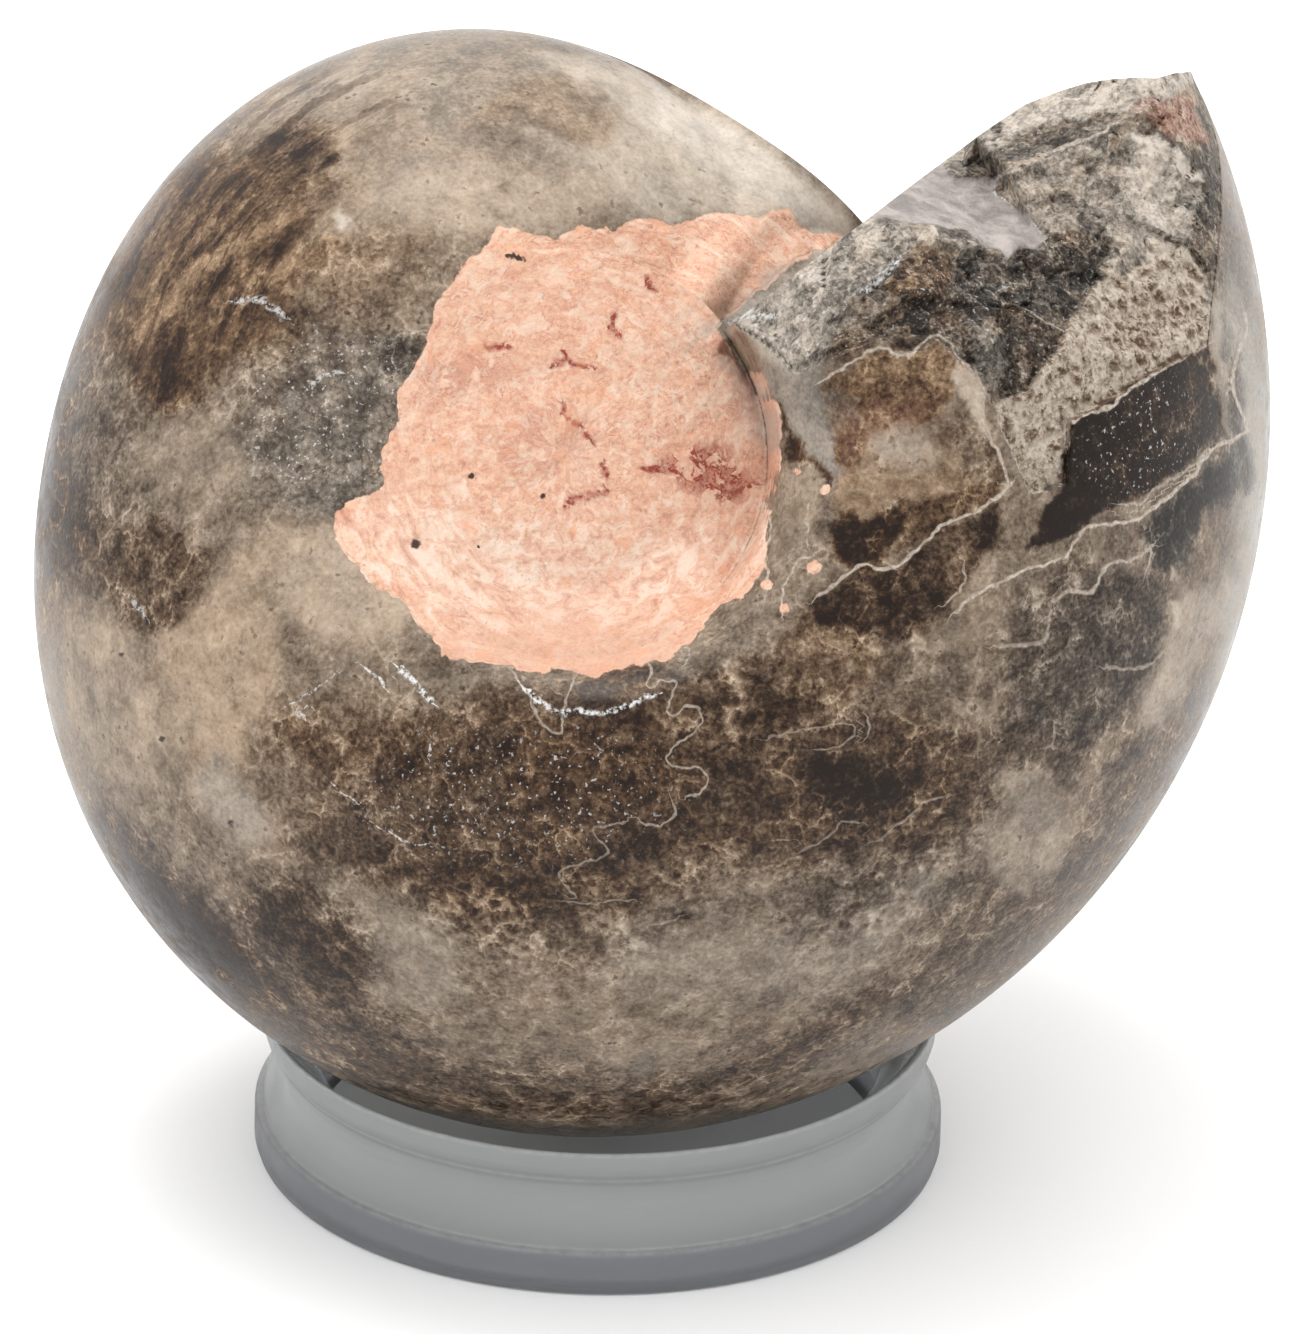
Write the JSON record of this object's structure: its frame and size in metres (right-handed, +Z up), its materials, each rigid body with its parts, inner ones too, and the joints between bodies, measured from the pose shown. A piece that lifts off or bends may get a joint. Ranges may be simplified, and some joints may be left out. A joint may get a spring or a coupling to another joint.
{
  "type": "ammonite fossil",
  "caption": "Polished, rounded ammonite fossil with a broken last whorl and a matrix-filled umbilicus, resting in a clear ring stand.",
  "frame": {"origin": "centre of the overall bounding box's bottom, on the surface that the ring stand rests on", "axes": "+Z up; -Y towards the flank that faces the viewer, which leans back with the umbilicus in it; +X towards the broken end of the last whorl"},
  "size_m": [0.0884, 0.0822, 0.0822],
  "materials": {
    "fossil_shell": "polished",
    "clear_acrylic": "gloss"
  },
  "bodies": {
    "root": {"ammonite": "fossil_shell", "ring_stand": "clear_acrylic"}
  },
  "joints": []
}
